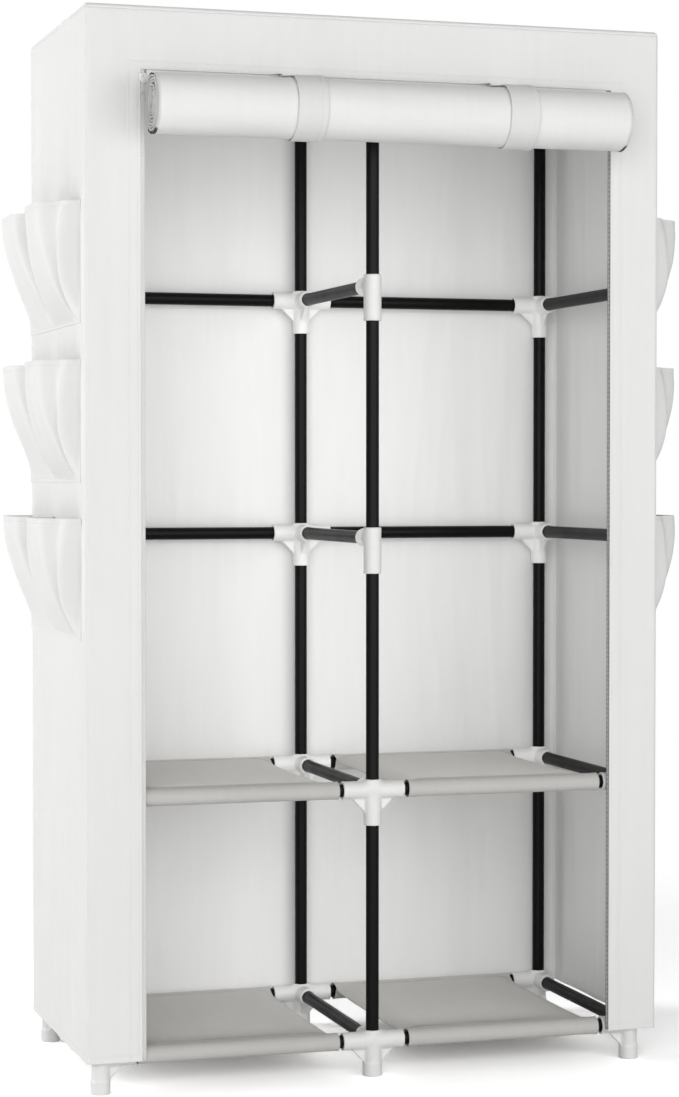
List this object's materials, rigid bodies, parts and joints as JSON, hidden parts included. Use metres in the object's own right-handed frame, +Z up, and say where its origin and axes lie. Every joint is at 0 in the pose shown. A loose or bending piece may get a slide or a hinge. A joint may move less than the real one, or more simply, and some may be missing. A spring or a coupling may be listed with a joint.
{
  "type": "portable fabric wardrobe",
  "caption": "Free-standing wardrobe: steel tubes in moulded connectors, cloth shelves, and a sewn cover with a zipped door that rolls up and pleated pockets on its sides.",
  "frame": {"origin": "on the floor, under the middle of the whole outside, with the side pockets and the rolled door included", "axes": "+X to the right seen from the door side, +Y from the door to the back wall, +Z up from the floor"},
  "size_m": [1.0373, 0.5347, 1.6203],
  "materials": {
    "tube": "black paint, satin to gloss",
    "connector": "white moulded plastic, smooth",
    "cover": "white non-woven cloth, matt, finely embossed",
    "shelf": "light grey non-woven cloth, matt",
    "zip_tape": "woven white tape with a moulded chain",
    "zip_metal": "dark grey metal"
  },
  "bodies": {
    "wardrobe": {"upright_front_left": "tube", "upright_front_middle": "tube", "upright_front_right": "tube", "upright_rear_left": "tube", "upright_rear_middle": "tube", "upright_rear_right": "tube", "connector_pair_left_level_0": "connector", "connector_pair_left_level_1": "connector", "connector_pair_left_level_2": "connector", "connector_pair_left_level_3": "connector", "connector_pair_left_level_4": "connector", "connector_pair_middle_level_0": "connector", "connector_pair_middle_level_1": "connector", "connector_pair_middle_level_2": "connector", "connector_pair_middle_level_3": "connector", "connector_pair_middle_level_4": "connector", "connector_pair_right_level_0": "connector", "connector_pair_right_level_1": "connector", "connector_pair_right_level_2": "connector", "connector_pair_right_level_3": "connector", "connector_pair_right_level_4": "connector", "front_tube_left_level_0": "tube", "front_tube_right_level_0": "tube", "front_tube_left_level_1": "tube", "front_tube_right_level_1": "tube", "front_tube_left_level_4": "tube", "front_tube_right_level_4": "tube", "rear_tube_left_level_0": "tube", "rear_tube_right_level_0": "tube", "rear_tube_left_level_1": "tube", "rear_tube_right_level_1": "tube", "rear_tube_left_level_2": "tube", "rear_tube_right_level_2": "tube", "rear_tube_left_level_3": "tube", "rear_tube_right_level_3": "tube", "rear_tube_left_level_4": "tube", "rear_tube_right_level_4": "tube", "shelf_left_level_0": "shelf", "shelf_right_level_0": "shelf", "shelf_left_level_1": "shelf", "shelf_right_level_1": "shelf", "cover_top": "cover", "cover_back": "cover", "cover_left": "cover", "cover_right": "cover", "cover_front_border": "cover", "zip_tape_left": "zip_tape", "zip_tape_right": "zip_tape", "strap_left": "cover", "strap_right": "cover", "pocket_row_left_bottom": "cover", "pocket_row_left_middle": "cover", "pocket_row_left_top": "cover", "pocket_row_right_bottom": "cover", "pocket_row_right_middle": "cover", "pocket_row_right_top": "cover"},
    "door": {"door_roll": "cover"},
    "left_zip_slider": {"zip_slider_left": "zip_metal"},
    "right_zip_slider": {"zip_slider_right": "zip_metal"}
  },
  "joints": [
    {"name": "door_drop", "type": "slide", "parent": "wardrobe", "child": "door", "axis": [0, 0, -1], "range_m": [0, 1.37], "deforming": ["strap_left", "strap_right"]},
    {"name": "left_zip_slide", "type": "slide", "parent": "wardrobe", "child": "left_zip_slider", "axis": [0, 0, -1], "range_m": [0, 1.44]},
    {"name": "right_zip_slide", "type": "slide", "parent": "wardrobe", "child": "right_zip_slider", "axis": [0, 0, -1], "range_m": [0, 1.44]}
  ]
}
